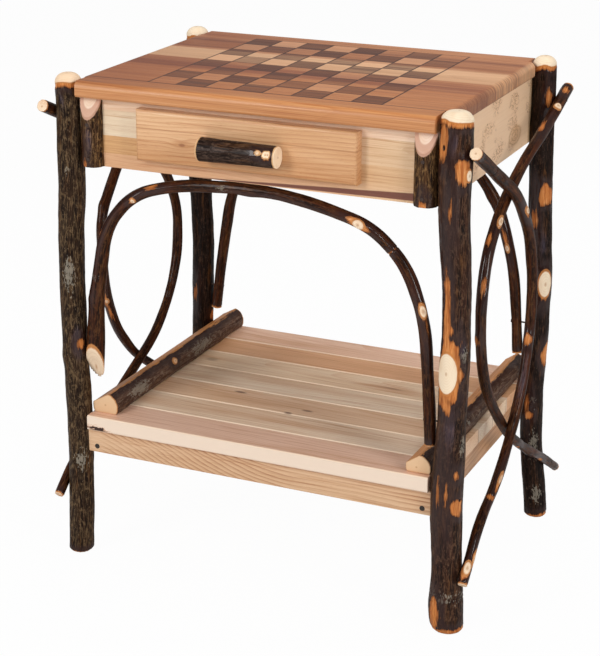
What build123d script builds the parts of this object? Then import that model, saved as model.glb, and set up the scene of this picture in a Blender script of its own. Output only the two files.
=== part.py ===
from build123d import *
import math
import os

# A rustic side table: a glued checkerboard slab on a drawer box, carried by four
# bark-on hickory logs, with a slatted shelf below and steam-bent twigs as braces.
# Millimetres, +X to the right, -Y towards the drawer, +Z up, floor at Z = 0.

# ---------------------------------------------------------------- driving sizes
table_height = 711.0         # floor to the crown of the posts
post_crown = 7.0             # the posts stand this far above the slab
apron_half_x = 259.0         # outer faces of the side aprons
apron_half_y = 190.0         # outer faces of the front and back aprons
apron_height = 95.0
board = 19.0                 # thickness of the apron and rail boards

slab_thickness = 22.0
slab_overhang_x = 7.0        # slab beyond the side aprons
slab_overhang_y = 16.0       # slab beyond the front and back aprons
slab_top_round = 9.0
slab_bottom_round = 4.0
stave_shares = (0.112, 0.194, 0.194, 0.245, 0.126, 0.129)   # of the slab's depth, front to back

shelf_top = 221.0
slat_thickness = 22.0
slat_count = 7
slat_bevel = 2.0
slat_overhang_x = 3.5        # slats beyond the side rails
shelf_overhang_front = 16.0  # shelf beyond the front apron's face
shelf_overhang_back = 36.0
rail_outset = 3.0            # side rails stand this far outside the side aprons
rail_setback = 7.0           # front and back rails inside the shelf's edges
rail_height = 35.0

post_inset_y = 2.0           # post axes inside the apron's front and back faces
post_splay_y = 6.0           # how far a foot stands further out than its post's top
post_dome = 14.0
post_foot_chamfer = 3.0
notch_gap = 1.5              # slab and slats clear the bark by this much

drawer_front_width = 317.5   # the overlay front
drawer_shift_x = -6.75       # its middle, off the table's middle
drawer_margin_top = 7.5      # apron left bare above it
drawer_margin_bottom = 18.0  # and below it
drawer_front_thickness = 16.0
drawer_front_round = 4.0
drawer_lip_x = 15.0          # the front overlaps its opening by this much at each side
drawer_lip_z = 7.0           # and above and below
drawer_wall = 12.0
drawer_back_clearance = 61.0
drawer_side_gap = 1.0
drawer_run_gap = 0.3
drawer_top_gap = 3.0
drawer_back_drop = 6.0       # the back is lower than the sides
panel_thickness = 5.0        # the drawer's bottom
panel_lift = 8.0             # above the sides' lower edge
panel_groove = 5.0
runner_width = 28.0
runner_thickness = 16.0
guide_width = 11.0           # the strip that steers the drawer's side
guide_height = 28.0

pull_left_radius = 16.0
pull_right_radius = 14.2
pull_length = 112.0
pull_drop = 5.0              # below the middle of the drawer front
pull_flat = 2.5              # planed off its back
pull_stub_radius = 4.5       # a cut branch on its front
pull_stub_rise = 1.2
pull_stub_share = 0.86       # along the pull

trim_radius = 16.0
trim_inset = 19.0            # half-log trims inside the side aprons' faces
trim_bevel = 24.0            # height of the sloping cut at a trim's top
trim_bevel_rest = 3.0        # thickness left at the top of that cut

fence_left_radius = 20.0
fence_left_rise = 10.0       # its axis above the shelf
fence_left_gap = 2.0         # inside the side rail's face
fence_left_setback = 18.0    # behind the shelf's front edge
fence_left_shaving = 5.5     # depth of the flat planed along its top
fence_left_tilt = 29.0       # that flat leans to the left by this many degrees
fence_right_radius = 18.0
fence_right_rise = 8.0
fence_right_gap = 3.5
fence_right_setback = 10.0
fence_right_shaving = 4.0
fence_right_tilt = 35.0
fence_back_inset = 3.0       # both end this far short of the shelf's back edge

arch_radius = 8.3
arch_cut_rise = 75.0         # the front arch's left foot is cut off slanting, this far above the shelf
arch_cut_slope = 72.0        # degrees from level
bow_top_radius = 8.4         # the bows taper downwards
bow_low_radius = 6.8
twig_gap = 0.3               # twigs lie this close to what they are nailed to
bow_dip = 3.5                # the inner bow of a pair leans in by this much

block_leg = 45.0             # corner blocks inside the drawer box
block_height = 40.0

lag_radius = 3.0
lag_head_radius = 6.0
lag_head = 4.0
screw_radius = 2.0
screw_head_radius = 3.8
screw_head = 2.5
nail_radius = 1.2
nail_head_radius = 2.4
nail_head = 1.0
nail_hold = 14.0             # how deep nails reach into the piece that holds them
screw_hold = 14.0            # and screws

# ---------------------------------------------------------------- worked-out sizes
slab_top = table_height - post_crown
slab_bottom = slab_top - slab_thickness
slab_half_x = apron_half_x + slab_overhang_x
slab_half_y = apron_half_y + slab_overhang_y
apron_bottom = slab_bottom - apron_height
apron_inner_x = apron_half_x - board
apron_inner_y = apron_half_y - board

slat_bottom = shelf_top - slat_thickness
rail_bottom = slat_bottom - rail_height
rail_half_x = apron_half_x + rail_outset
slat_half_x = rail_half_x + slat_overhang_x
shelf_front_y = -apron_half_y - shelf_overhang_front
shelf_back_y = apron_half_y + shelf_overhang_back
rail_front_y = shelf_front_y + rail_setback
rail_back_y = shelf_back_y - rail_setback
post_y = apron_half_y - post_inset_y

drawer_left = drawer_shift_x - drawer_front_width / 2
drawer_right = drawer_shift_x + drawer_front_width / 2
drawer_top = slab_bottom - drawer_margin_top
drawer_bottom = apron_bottom + drawer_margin_bottom
opening_left = drawer_left + drawer_lip_x
opening_right = drawer_right - drawer_lip_x
opening_top = drawer_top - drawer_lip_z
opening_bottom = drawer_bottom + drawer_lip_z

nodes = {}


def keep(name, shape):
    """Store one sub-part under its node name."""
    nodes[name] = shape
    return shape


def span(x0, x1, y0, y1, z0, z1):
    """A box between two corners."""
    middle = Pos((x0 + x1) / 2, (y0 + y1) / 2, (z0 + z1) / 2)
    return middle * Box(abs(x1 - x0), abs(y1 - y0), abs(z1 - z0))


def rod(start, end, radius):
    """A round bar between two points."""
    start, end = Vector(start), Vector(end)
    along = end - start
    bar = Cylinder(radius, along.length, align=(Align.CENTER, Align.CENTER, Align.MIN))
    return Plane(origin=start, z_dir=along) * bar


def fastener(head_at, towards, length, radius, head_radius, head):
    """A screw or nail with its head's outer face at head_at."""
    start, way = Vector(head_at), Vector(towards).normalized()
    shank = rod(start + way * head / 2, start + way * length, radius)
    return rod(start, start + way * head, head_radius) + shank


def screw(head_at, towards, length):
    return fastener(head_at, towards, length, screw_radius, screw_head_radius, screw_head)


def nail(head_at, towards, length):
    return fastener(head_at, towards, length, nail_radius, nail_head_radius, nail_head)


def drive(name, *driven):
    """Keep fasteners as one node, each cutting its own hole in the pieces it joins.

    Each entry is a fastener followed by the names of those pieces.
    """
    for piece, *joined in driven:
        for node in joined:
            nodes[node] = nodes[node] - piece
    keep(name, Compound([entry[0] for entry in driven]))


# ---------------------------------------------------------------- posts
# Each log has its corner, its radius in the top, middle and bottom third, the depth of its
# planed seat, and how far its axis wanders outwards: at three heights between apron and
# shelf from the top down, then below the rail and at the floor.
posts = {
    "post_front_left": dict(side=(-1, -1), radii=(18.3, 18.3, 18.3), seat=0.8,
                            wander=(4.5, 6.5, 5.5), foot=(6.0, 9.5)),
    "post_front_right": dict(side=(1, -1), radii=(21.3, 18.9, 21.5), seat=2.8,
                             wander=(6.0, 8.5, 7.5), foot=(6.0, 10.5)),
    "post_back_right": dict(side=(1, 1), radii=(17.2, 17.0, 17.2), seat=1.6,
                            wander=(2.5, 6.5, 5.5), foot=(9.0, 16.0)),
    "post_back_left": dict(side=(-1, 1), radii=(17.5, 17.5, 17.8), seat=1.0,
                           wander=(2.5, -0.5, 0.5), foot=(5.0, 8.5)),
}
long_run = apron_bottom - shelf_top
post_axes = {}
for name, post in posts.items():
    side_x, side_y = post["side"]
    top_r, middle_r, low_r = post["radii"]
    inner_x = apron_half_x - post["seat"]
    stations = [                                   # height, outward wander, radius
        (0.0, post["foot"][1], low_r),
        (0.45 * rail_bottom, post["foot"][0], low_r),
        (rail_bottom, rail_outset, low_r),
        (shelf_top, rail_outset, low_r),
        (shelf_top + 0.25 * long_run, post["wander"][2], middle_r),
        (shelf_top + 0.50 * long_run, post["wander"][1], middle_r),
        (shelf_top + 0.75 * long_run, post["wander"][0], middle_r),
        (apron_bottom, 0.0, top_r),
        (slab_bottom, 0.0, top_r),
        (table_height, 0.0, top_r),
    ]
    axis = []
    for z, outward, radius in stations:
        settle = low_r if z <= shelf_top else top_r
        y = post_y + post_splay_y * (1 - z / table_height)
        axis.append((z, side_x * (inner_x + settle + outward), side_y * y, radius))
    post_axes[name] = axis
    log = loft([Pos(x, y, z) * Circle(radius) for z, x, y, radius in axis])
    log = fillet(log.edges().group_by(Axis.Z)[-1], post_dome)
    log = chamfer(log.edges().group_by(Axis.Z)[0], post_foot_chamfer)
    # planed flats that seat on the side apron and on the shelf's side rail
    near, far = side_y * (post_y - 2 * top_r), side_y * (post_y + 3 * top_r)
    log -= span(0, side_x * apron_half_x, near, far, apron_bottom, slab_bottom)
    log -= span(0, side_x * rail_half_x, near, far, rail_bottom, slat_bottom)
    keep(name, log)


def post_at(name, z):
    """A post's axis x, axis y and radius at a height."""
    axis = post_axes[name]
    for low, high in zip(axis, axis[1:]):
        if low[0] <= z <= high[0]:
            t = (z - low[0]) / (high[0] - low[0])
            return tuple(a + (b - a) * t for a, b in zip(low[1:], high[1:]))
    return axis[-1][1:]


def post_named(side_x, side_y):
    return f"post_{'front' if side_y < 0 else 'back'}_{'left' if side_x < 0 else 'right'}"


def corner_notch(side_x, side_y, z, z0, z1):
    """The square corner to cut away so that a board clears a post."""
    x, y, radius = post_at(post_named(side_x, side_y), z)
    inner_x = x - side_x * (radius + notch_gap)
    inner_y = y - side_y * (radius + notch_gap)
    return span(inner_x, side_x * 2 * slab_half_x, inner_y, side_y * 2 * slab_half_y, z0, z1)


corners = [(side_x, side_y) for side_x in (-1, 1) for side_y in (-1, 1)]

# ---------------------------------------------------------------- the slab's staves
slab = span(-slab_half_x, slab_half_x, -slab_half_y, slab_half_y, slab_bottom, slab_top)
slab = fillet(slab.faces().sort_by(Axis.Z)[-1].edges(), slab_top_round)
slab = fillet(slab.faces().sort_by(Axis.Z)[0].edges(), slab_bottom_round)
for side_x, side_y in corners:
    slab -= corner_notch(side_x, side_y, slab_bottom, slab_bottom - 1, slab_top + 1)
stave_edges = [-slab_half_y]
for share in stave_shares:
    stave_edges.append(stave_edges[-1] + share / sum(stave_shares) * 2 * slab_half_y)
for number, (near, far) in enumerate(zip(stave_edges, stave_edges[1:]), start=1):
    strip = span(-2 * slab_half_x, 2 * slab_half_x, near, far, slab_bottom - 1, slab_top + 1)
    keep(f"top_stave_{number}", slab & strip)


def stave_over(y):
    """The stave that lies over a depth."""
    return f"top_stave_{sum(1 for edge in stave_edges[:-1] if edge < y)}"


# ---------------------------------------------------------------- the apron box
front = span(-apron_half_x, apron_half_x, -apron_half_y, -apron_inner_y, apron_bottom, slab_bottom)
front -= span(opening_left, opening_right, -apron_half_y - 1, -apron_inner_y + 1, opening_bottom, opening_top)
keep("apron_front", front)
keep("apron_back", span(-apron_half_x, apron_half_x, apron_inner_y, apron_half_y, apron_bottom, slab_bottom))
keep("apron_left", span(-apron_half_x, -apron_inner_x, -apron_inner_y, apron_inner_y, apron_bottom, slab_bottom))
keep("apron_right", span(apron_inner_x, apron_half_x, -apron_inner_y, apron_inner_y, apron_bottom, slab_bottom))

apron_screws = []
for side_x, side_y in corners:
    board_node = "apron_front" if side_y < 0 else "apron_back"
    side_node = "apron_left" if side_x < 0 else "apron_right"
    for share in (0.2, 0.55):
        at = (side_x * (apron_half_x - board / 2), side_y * apron_half_y, apron_bottom + share * apron_height)
        apron_screws.append((screw(at, (0, -side_y, 0), board + screw_hold), board_node, side_node))
drive("apron_screws", *apron_screws)

# corner blocks carry a slanting lag screw into each post and an upright screw into the slab
post_lags, top_screws = [], []
lag_z = slab_bottom - block_height / 2
for side_x, side_y in corners:
    block_node = f"corner_block_{post_named(side_x, side_y)[5:]}"
    corner_x, corner_y = side_x * apron_inner_x, side_y * apron_inner_y
    outline = Polyline(
        (corner_x, corner_y), (corner_x - side_x * block_leg, corner_y),
        (corner_x, corner_y - side_y * block_leg), close=True,
    )
    prism = extrude(Pos(0, 0, slab_bottom - block_height) * make_face(outline), block_height, dir=(0, 0, 1))
    keep(block_node, prism)

    # the lag runs at 45 degrees from the block's long face through the corner of the two
    # aprons and enters the post in the middle of its planed seat
    _, post_axis_y, post_r = post_at(post_named(side_x, side_y), lag_z)
    back_off = (block_leg + board + abs(post_axis_y) - apron_inner_y) / 2
    head_at = (side_x * (apron_half_x - back_off), post_axis_y - side_y * back_off, lag_z)
    lag = fastener(head_at, (side_x, side_y, 0), back_off * math.sqrt(2) + 0.9 * post_r,
                   lag_radius, lag_head_radius, lag_head)
    side_node = "apron_left" if side_x < 0 else "apron_right"
    cross_node = "apron_front" if side_y < 0 else "apron_back"
    post_lags.append((lag, block_node, side_node, cross_node, post_named(side_x, side_y)))

    upright_x = corner_x - side_x * 0.55 * block_leg
    upright_y = corner_y - side_y * 0.2 * block_leg
    up = screw((upright_x, upright_y, slab_bottom - block_height), (0, 0, 1), block_height + 0.6 * slab_thickness)
    top_screws.append((up, block_node, stave_over(upright_y)))
drive("top_screws", *top_screws)

# half-log trims over the front corners, cut to a slope at the top
for side_x, trim_name in ((-1, "apron_trim_left"), (1, "apron_trim_right")):
    trim_x = side_x * (apron_half_x - trim_inset)
    trim = rod((trim_x, -apron_half_y, apron_bottom), (trim_x, -apron_half_y, slab_bottom), trim_radius)
    trim -= span(trim_x - 2 * trim_radius, trim_x + 2 * trim_radius, -apron_half_y, 0, 0, table_height)
    slope = Polyline(
        (-apron_half_y - 1.2 * trim_radius, slab_bottom - 1.25 * trim_bevel),
        (-apron_half_y - trim_bevel_rest, slab_bottom),
        (-apron_half_y - 1.2 * trim_radius, slab_bottom + 1), close=True,
    )
    wedge = extrude(Plane.YZ * make_face(slope), 2 * trim_radius, both=True)
    keep(trim_name, trim - Pos(trim_x, 0, 0) * wedge)
trim_nails = []
for side_x, trim_name in ((-1, "apron_trim_left"), (1, "apron_trim_right")):
    for share in (0.12, 0.62):
        at = (side_x * (apron_half_x - trim_inset), -apron_half_y - trim_radius, apron_bottom + share * apron_height)
        trim_nails.append((nail(at, (0, 1, 0), trim_radius + 0.7 * board), trim_name, "apron_front"))
drive("trim_nails", *trim_nails)

# ---------------------------------------------------------------- the drawer
side_bottom = opening_bottom + drawer_run_gap
side_top = opening_top - drawer_top_gap
box_left = opening_left + drawer_side_gap
box_right = opening_right - drawer_side_gap
box_front = -apron_half_y
box_back = apron_inner_y - drawer_back_clearance
panel_bottom = side_bottom + panel_lift
panel_top = panel_bottom + panel_thickness

overlay = span(drawer_left, drawer_right, -apron_half_y - drawer_front_thickness, -apron_half_y,
               drawer_bottom, drawer_top)
keep("drawer_front", fillet(overlay.faces().sort_by(Axis.Y)[0].edges(), drawer_front_round))
panel = span(box_left + drawer_wall - panel_groove, box_right - drawer_wall + panel_groove,
             box_front + drawer_wall - panel_groove, box_back, panel_bottom, panel_top)
keep("drawer_side_left", span(box_left, box_left + drawer_wall,
                              box_front, box_back, side_bottom, side_top) - panel)
keep("drawer_side_right", span(box_right - drawer_wall, box_right,
                               box_front, box_back, side_bottom, side_top) - panel)
keep("drawer_inner_front", span(box_left + drawer_wall, box_right - drawer_wall,
                                box_front, box_front + drawer_wall, side_bottom, side_top) - panel)
keep("drawer_back", span(box_left + drawer_wall, box_right - drawer_wall,
                         box_back - drawer_wall, box_back, panel_top, side_top - drawer_back_drop))
keep("drawer_bottom", panel)

# the pull, a short length of branch with a planed back
pull_x = drawer_shift_x - pull_length / 2
pull_z = (drawer_top + drawer_bottom) / 2 - pull_drop
front_face_y = -apron_half_y - drawer_front_thickness
pull_y = front_face_y - pull_left_radius + pull_flat
pull_plane = Plane(origin=(pull_x, pull_y, pull_z), x_dir=(0, 1, 0), z_dir=(1, 0, 0))
pull = pull_plane * loft([Circle(pull_left_radius), Pos(0, 0, pull_length) * Circle(pull_right_radius)])
pull -= span(pull_x - 1, pull_x + pull_length + 1, front_face_y, 0,
             pull_z - 2 * pull_left_radius, pull_z + 2 * pull_left_radius)
stub_x = pull_x + pull_stub_share * pull_length
stub_r = pull_left_radius + (pull_right_radius - pull_left_radius) * pull_stub_share
pull += rod((stub_x, pull_y, pull_z), (stub_x, pull_y - stub_r - pull_stub_rise, pull_z), pull_stub_radius)
keep("drawer_pull", pull)

inside_front_y = box_front + drawer_wall
pull_screws = []
for share in (0.2, 0.7):
    at = (pull_x + share * pull_length, inside_front_y, pull_z)
    length = inside_front_y - front_face_y + 0.7 * pull_left_radius
    pull_screws.append((screw(at, (0, -1, 0), length), "drawer_inner_front", "drawer_front", "drawer_pull"))
drive("pull_screws", *pull_screws)
drawer_screws = []
for share in (0.08, 0.92):
    at = (box_left + share * (box_right - box_left), inside_front_y, (panel_top + side_top) / 2)
    length = drawer_wall + 0.7 * drawer_front_thickness
    drawer_screws.append((screw(at, (0, -1, 0), length), "drawer_inner_front", "drawer_front"))
drive("drawer_screws", *drawer_screws)

# runners between the front and back aprons, each with a guide strip beside the drawer
runner_screws = []
for side_x, runner_name in ((-1, "drawer_runner_left"), (1, "drawer_runner_right")):
    edge = opening_left if side_x < 0 else opening_right
    outside = edge + side_x * guide_width
    runner = span(outside, outside - side_x * runner_width, -apron_inner_y, apron_inner_y,
                  opening_bottom - runner_thickness, opening_bottom)
    runner += span(outside, edge, -apron_inner_y, apron_inner_y, opening_bottom, opening_bottom + guide_height)
    keep(runner_name, runner)
    for share in (0.25, 0.75):
        at = (outside - side_x * share * runner_width, apron_half_y, opening_bottom - runner_thickness / 2)
        runner_screws.append((screw(at, (0, -1, 0), board + screw_hold), "apron_back", runner_name))
drive("runner_screws", *runner_screws)

# ---------------------------------------------------------------- the shelf
keep("shelf_rail_front", span(-rail_half_x, rail_half_x, rail_front_y, rail_front_y + board,
                              rail_bottom, slat_bottom))
keep("shelf_rail_back", span(-rail_half_x, rail_half_x, rail_back_y - board, rail_back_y,
                             rail_bottom, slat_bottom))
for side_x, rail_name in ((-1, "shelf_rail_left"), (1, "shelf_rail_right")):
    keep(rail_name, span(side_x * (rail_half_x - board), side_x * rail_half_x,
                         rail_front_y + board, rail_back_y - board, rail_bottom, slat_bottom))

rail_screws = []
rail_screw_z = rail_bottom + 0.25 * rail_height
for side_x, side_y in corners:
    face_y = rail_front_y if side_y < 0 else rail_back_y
    cross_node = "shelf_rail_front" if side_y < 0 else "shelf_rail_back"
    side_node = "shelf_rail_left" if side_x < 0 else "shelf_rail_right"
    at = (side_x * (rail_half_x - 0.7 * board), face_y, rail_screw_z)
    rail_screws.append((screw(at, (0, -side_y, 0), board + screw_hold), cross_node, side_node))
drive("rail_screws", *rail_screws)

# lag screws at 45 degrees from inside each side rail into the middle of its post's seat
shelf_lag_z = rail_bottom + 0.45 * rail_height
for side_x, side_y in corners:
    _, post_axis_y, post_r = post_at(post_named(side_x, side_y), shelf_lag_z)
    head_at = (side_x * (rail_half_x - board), post_axis_y - side_y * board, shelf_lag_z)
    lag = fastener(head_at, (side_x, side_y, 0), board * math.sqrt(2) + 0.9 * post_r,
                   lag_radius, lag_head_radius, lag_head)
    side_node = "shelf_rail_left" if side_x < 0 else "shelf_rail_right"
    cross_node = "shelf_rail_front" if side_y < 0 else "shelf_rail_back"
    post_lags.append((lag, side_node, cross_node, post_named(side_x, side_y)))
drive("post_lags", *post_lags)

slat_pitch = (shelf_back_y - shelf_front_y) / slat_count
slat_nails = []
for number in range(1, slat_count + 1):
    slat_front = shelf_front_y + (number - 1) * slat_pitch
    slat = span(-slat_half_x, slat_half_x, slat_front, slat_front + slat_pitch, slat_bottom, shelf_top)
    slat = chamfer(slat.edges().filter_by(Axis.X), slat_bevel)
    for side_x, side_y in corners:
        slat -= corner_notch(side_x, side_y, shelf_top, slat_bottom - 1, shelf_top + 1)
    keep(f"shelf_slat_{number}", slat)
    for side_x in (-1, 1):
        at = (side_x * (rail_half_x - board / 2), slat_front + slat_pitch / 2, shelf_top)
        side_node = "shelf_rail_left" if side_x < 0 else "shelf_rail_right"
        slat_nails.append((nail(at, (0, 0, -1), slat_thickness + nail_hold), f"shelf_slat_{number}", side_node))
drive("slat_nails", *slat_nails)

# log fences along the shelf's sides, with a planed foot and a flat shaved along the top,
# screwed from under the slats
fences = {
    "shelf_fence_left": (-1, fence_left_radius, fence_left_rise, fence_left_gap,
                         fence_left_setback, fence_left_shaving, fence_left_tilt),
    "shelf_fence_right": (1, fence_right_radius, fence_right_rise, fence_right_gap,
                          fence_right_setback, fence_right_shaving, fence_right_tilt),
}
fence_screws = []
fence_top = {}
for fence_name, (side_x, radius, rise, gap, setback, shaving, tilt) in fences.items():
    fence_x = side_x * (rail_half_x - gap - radius)
    fence_z = shelf_top + rise
    fence_top[side_x] = fence_z + radius
    start_y, end_y = shelf_front_y + setback, shelf_back_y - fence_back_inset
    fence = rod((fence_x, start_y, fence_z), (fence_x, end_y, fence_z), radius)
    fence -= span(fence_x - 2 * radius, fence_x + 2 * radius, start_y - 1, end_y + 1, 0, shelf_top)
    above = span(-2 * radius, 2 * radius, start_y - 1, end_y + 1, radius - shaving, 2 * radius)
    fence -= Pos(fence_x, 0, fence_z) * Rot(0, -tilt, 0) * above
    keep(fence_name, fence)
    for slat in (1, (slat_count + 1) // 2, slat_count):
        at = (fence_x - side_x * 0.2 * radius, shelf_front_y + (slat - 0.5) * slat_pitch, slat_bottom)
        up = screw(at, (0, 0, 1), slat_thickness + screw_hold)
        fence_screws.append((up, f"shelf_slat_{slat}", fence_name))
drive("fence_screws", *fence_screws)


# ---------------------------------------------------------------- bent twigs
def twig(points, start_radius, end_radius, across):
    """A round twig along straight runs joined by the largest arcs that fit them.

    It tapers evenly from end to end, and across is square to the plane it is bent in.
    """
    points = [Vector(point) for point in points]
    bends = []
    for before, here, after in zip(points, points[1:], points[2:]):
        turn = math.radians((here - before).get_angle(after - here))
        shorter = min((here - before).length, (after - here).length)
        bends.append(0.45 * shorter / math.tan(turn / 2))
    route = FilletPolyline(*points, radius=bends)
    start = Plane(origin=points[0], x_dir=across, z_dir=points[1] - points[0])
    end = Plane(origin=points[-1], x_dir=across, z_dir=points[-1] - points[-2])
    return sweep([start * Circle(start_radius), end * Circle(end_radius)], path=route, multisection=True)


# The two arches: shares of the clear half-width between the posts, and of the rise from
# the fence's top to the apron. Each starts and ends against its posts' inner sides.
arch_routes = {
    "arch_front": (-1, (
        (-1.0, 0.045), (-0.965, 0.471), (-0.895, 0.761), (-0.72, 0.922), (-0.43, 0.984),
        (-0.12, 1.0), (0.10, 1.0), (0.38, 0.969), (0.66, 0.91), (0.85, 0.774),
        (0.955, 0.553), (0.985, 0.281), (1.0, 0.042),
    )),
    "arch_back": (1, (
        (-1.0, 0.033), (-0.957, 0.287), (-0.885, 0.609), (-0.77, 0.807), (-0.55, 0.939),
        (-0.2, 1.0), (0.16, 1.0), (0.47, 0.964), (0.69, 0.884), (0.835, 0.742),
        (0.913, 0.568), (0.968, 0.372), (1.0, 0.045),
    )),
}
arch_nails = []
crown_z = apron_bottom - arch_radius - twig_gap
for arch_name, (side_y, route) in arch_routes.items():
    clear_half = {}
    for side_x, end_share in ((-1, route[0][1]), (1, route[-1][1])):
        end_z = fence_top[side_x] + end_share * (crown_z - fence_top[side_x])
        post_x, _, post_r = post_at(post_named(side_x, side_y), end_z)
        clear_half[side_x] = abs(post_x) - post_r - arch_radius - twig_gap
    points = []
    for share_x, share_z in route:
        side_x = -1 if share_x < 0 else 1
        z = fence_top[side_x] + share_z * (crown_z - fence_top[side_x])
        points.append((share_x * clear_half[side_x], side_y * post_y, z))
    arch = twig(points, arch_radius, arch_radius, (0, 1, 0))
    if side_y < 0:
        lean = math.radians(arch_cut_slope)
        cut_at = Plane(origin=(points[0][0], points[0][1], shelf_top + arch_cut_rise), x_dir=(1, 0, 0),
                       z_dir=(0, -math.sin(lean), -math.cos(lean)))
        scrap = Box(6 * arch_radius, 12 * arch_radius, 6 * arch_radius,
                    align=(Align.CENTER, Align.CENTER, Align.MIN))
        arch -= cut_at * scrap
    keep(arch_name, arch)

    for side_x, (end, above) in ((-1, (points[0], points[1])), (1, (points[-1], points[-2]))):
        share = 0.45
        x, z = end[0] + share * (above[0] - end[0]), end[2] + share * (above[2] - end[2])
        at = (x - side_x * arch_radius, side_y * post_y, z)
        length = 2 * arch_radius + nail_hold
        arch_nails.append((nail(at, (side_x, 0, 0), length), arch_name, post_named(side_x, side_y)))
    at = ((points[5][0] + points[6][0]) / 2, side_y * post_y, crown_z - arch_radius)
    board_node = "apron_front" if side_y < 0 else "apron_back"
    arch_nails.append((nail(at, (0, 0, 1), 2 * arch_radius + nail_hold), arch_name, board_node))
drive("arch_nails", *arch_nails)

# The side bows, two to a side, each nailed to one post's outer side at both ends. Shares
# are of the post's depth (towards that post) and of the height under the slab. The inner
# bow of a pair leans in a little, and the outer one passes over it at both crossings.
bow_routes = {
    "bow_right_front": ((1, -1), True, (
        (1.075, 0.972), (0.585, 0.898), (0.26, 0.842), (-0.085, 0.737), (-0.20, 0.633),
        (-0.20, 0.545), (-0.09, 0.441), (0.15, 0.345), (0.47, 0.268), (0.80, 0.205), (1.11, 0.112),
    )),
    "bow_right_back": ((1, 1), False, (
        (1.175, 0.97), (0.60, 0.915), (0.12, 0.872), (-0.32, 0.818), (-0.61, 0.748), (-0.72, 0.66),
        (-0.71, 0.56), (-0.57, 0.465), (-0.28, 0.377), (0.03, 0.302), (0.46, 0.226), (0.86, 0.162), (1.25, 0.096),
    )),
    "bow_left_front": ((-1, -1), False, (
        (1.135, 0.98), (0.60, 0.915), (0.05, 0.868), (-0.39, 0.798), (-0.68, 0.715), (-0.835, 0.63),
        (-0.825, 0.53), (-0.67, 0.432), (-0.40, 0.36), (0.04, 0.303), (0.50, 0.25), (0.90, 0.192), (1.15, 0.135),
    )),
    "bow_left_back": ((-1, 1), True, (
        (1.08, 0.972), (0.60, 0.91), (0.25, 0.845), (-0.07, 0.755), (-0.265, 0.685), (-0.27, 0.60),
        (-0.225, 0.50), (-0.09, 0.415), (0.17, 0.333), (0.46, 0.276), (0.80, 0.208), (1.11, 0.112),
    )),
}


def bow_seat(post_name, z, radius):
    """How far out a bow's axis lies where it is nailed to a post."""
    post_x, _, post_r = post_at(post_name, z)
    return abs(post_x) + post_r + radius + twig_gap


def seat_height(post_name, end, before):
    """The height at which a bow's last run passes its post's axis."""
    low_z, high_z = sorted((end[1] * slab_bottom, before[1] * slab_bottom))
    _, axis_y, _ = post_at(post_name, (low_z + high_z) / 2)
    t = (abs(axis_y) / post_y - end[0]) / (before[0] - end[0])
    return slab_bottom * (end[1] + t * (before[1] - end[1]))


bow_nails = []
for side_x in (-1, 1):
    pair = {name: entry for name, entry in bow_routes.items() if entry[0][0] == side_x}
    seats = {}
    for bow_name, (side, outer, route) in pair.items():
        post_name = post_named(*side)
        top_z = seat_height(post_name, route[0], route[1])
        low_z = seat_height(post_name, route[-1], route[-2])
        seats[bow_name] = (top_z, bow_seat(post_name, top_z, bow_top_radius),
                           low_z, bow_seat(post_name, low_z, bow_low_radius))
        if not outer:
            inner_seats = seats[bow_name]
    for bow_name, (side, outer, route) in pair.items():
        top_z, top_x, low_z, low_x = seats[bow_name]
        points = []
        for step, (share_y, share_z) in enumerate(route):
            z = share_z * slab_bottom
            if step < 2:
                x = top_x
            elif step > len(route) - 3:
                x = low_x
            else:
                along = (inner_seats[0] - z) / (inner_seats[0] - inner_seats[2])
                x = inner_seats[1] + along * (inner_seats[3] - inner_seats[1]) - bow_dip
                if outer:
                    thickness = 2 * (bow_top_radius + along * (bow_low_radius - bow_top_radius))
                    x += thickness + 2 * twig_gap
            points.append((side_x * x, side[1] * share_y * post_y, z))
        keep(bow_name, twig(points, bow_top_radius, bow_low_radius, (1, 0, 0)))
        for seat_z, seat_x, radius in ((top_z, top_x, bow_top_radius), (low_z, low_x, bow_low_radius)):
            _, axis_y, _ = post_at(post_named(*side), seat_z)
            at = (side_x * (seat_x + radius), axis_y, seat_z)
            piece = nail(at, (-side_x, 0, 0), 2 * radius + nail_hold)
            bow_nails.append((piece, bow_name, post_named(*side)))
drive("bow_nails", *bow_nails)

# ---------------------------------------------------------------- one file for each piece
os.makedirs("parts", exist_ok=True)
for name, shape in nodes.items():
    shape.label = name
    export_step(shape, f"parts/{name}.step")
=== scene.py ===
"""A rustic hickory side table, dressed piece by piece in the order it is put together."""
import math

import bpy
import numpy as np
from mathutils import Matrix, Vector, noise


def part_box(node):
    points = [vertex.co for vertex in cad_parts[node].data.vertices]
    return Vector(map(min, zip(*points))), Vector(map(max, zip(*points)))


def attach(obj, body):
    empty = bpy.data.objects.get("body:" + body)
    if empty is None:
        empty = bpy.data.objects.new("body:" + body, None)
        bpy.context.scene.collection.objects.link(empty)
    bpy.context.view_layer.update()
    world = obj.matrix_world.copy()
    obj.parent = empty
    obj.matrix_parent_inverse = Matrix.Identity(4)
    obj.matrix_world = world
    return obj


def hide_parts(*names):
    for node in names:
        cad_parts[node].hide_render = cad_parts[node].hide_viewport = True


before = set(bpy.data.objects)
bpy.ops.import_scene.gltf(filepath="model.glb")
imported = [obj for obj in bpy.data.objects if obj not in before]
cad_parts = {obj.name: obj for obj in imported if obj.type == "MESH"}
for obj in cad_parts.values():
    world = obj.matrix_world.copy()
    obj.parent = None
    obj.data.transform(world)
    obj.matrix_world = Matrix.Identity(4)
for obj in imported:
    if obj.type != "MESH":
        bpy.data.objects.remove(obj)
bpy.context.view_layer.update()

# ---------------------------------------- posts
# Four hickory logs with the bark left on, their tops turned to a dome. Branches are cut
# flush and leave pale ovals, round which the bark has peeled down to the orange bast.
MM = 0.001  # one millimetre in the scene's metres


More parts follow.
